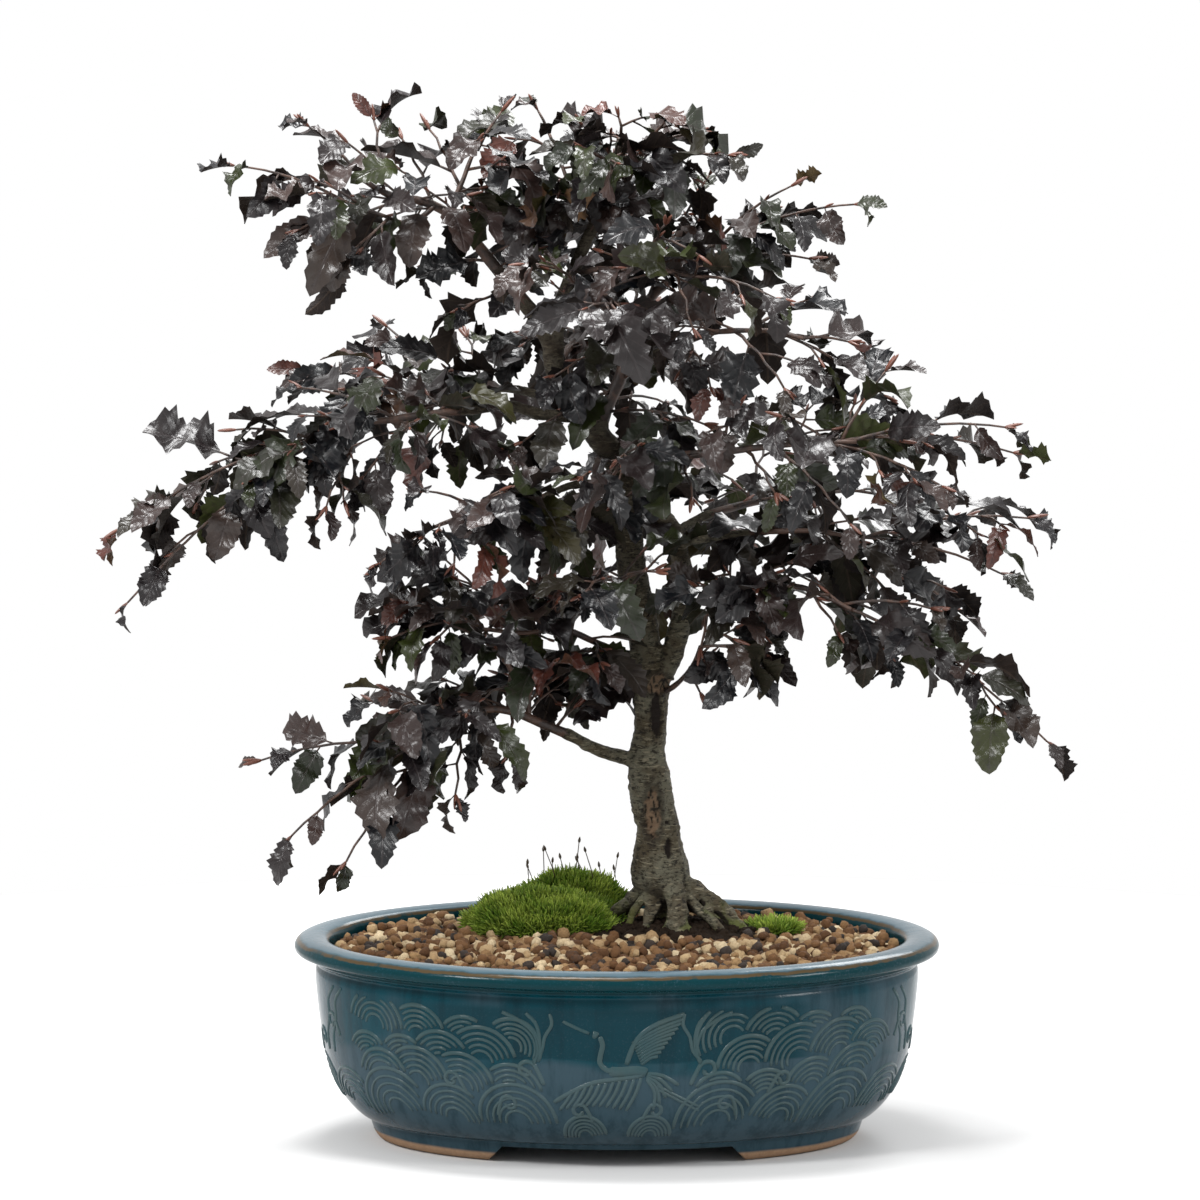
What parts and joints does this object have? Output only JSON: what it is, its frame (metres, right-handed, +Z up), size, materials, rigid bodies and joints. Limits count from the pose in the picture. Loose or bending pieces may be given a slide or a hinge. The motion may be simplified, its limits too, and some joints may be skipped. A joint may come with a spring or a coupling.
{
  "type": "potted bonsai tree",
  "caption": "Small dark-leaved bonsai tree with a bare upright trunk and wide arching limbs, planted in a shallow oval glazed pot with a gravel bed and moss.",
  "frame": {"origin": "middle of the whole object's box, on the table under the pot's feet", "axes": "+Z up, +X along the pot's length to the viewer's right, +Y away from the viewer across the pot's depth"},
  "size_m": [0.5536, 0.3054, 0.5994],
  "materials": {
    "glaze": "mottled grey-blue and teal glaze, glossy, over tan clay",
    "screen_plastic": "dark plastic mesh",
    "clip_wire": "drawn wire",
    "bark": "rough grey-brown bark",
    "foliage": "glossy dark purple-green leaf",
    "soil": "granular potting soil",
    "gravel": "mixed clay and pumice grains",
    "moss": "soft green moss"
  },
  "bodies": {
    "root": {"branch_back_left": "bark", "branch_back_right": "bark", "branch_front_left": "bark", "branch_front_right": "bark", "branch_high_left": "bark", "branch_knuckle_right": "bark", "branch_long_left": "bark", "branch_low_left": "bark", "branch_mid_left": "bark", "branch_mid_right": "bark", "branch_riser": "bark", "branch_second_leader": "bark", "branch_upper_right": "bark", "drain_screen_left": "screen_plastic", "drain_screen_right": "screen_plastic", "gravel_bed": "gravel", "moss_back": "moss", "moss_front": "moss", "moss_root": "moss", "pot": "glaze", "screen_clip_left": "clip_wire", "screen_clip_right": "clip_wire", "soil": "soil", "spray_back_high": "foliage", "spray_back_left": "foliage", "spray_back_low": "foliage", "spray_back_mid": "foliage", "spray_back_right": "foliage", "spray_crown": "foliage", "spray_crown_back": "foliage", "spray_crown_left": "foliage", "spray_crown_right": "foliage", "spray_front_high": "foliage", "spray_front_left": "foliage", "spray_front_low": "foliage", "spray_front_mid": "foliage", "spray_front_right": "foliage", "spray_high_left": "foliage", "spray_high_left_side": "foliage", "spray_high_left_upright": "foliage", "spray_knuckle_right": "foliage", "spray_long_left": "foliage", "spray_low_left": "foliage", "spray_low_left_mid": "foliage", "spray_low_left_riser": "foliage", "spray_low_right": "foliage", "spray_mid_left": "foliage", "spray_mid_right": "foliage", "spray_mid_right_down": "foliage", "spray_second_leader": "foliage", "spray_upper_front_right": "foliage", "spray_upper_right": "foliage", "trunk": "bark"}
  },
  "joints": []
}
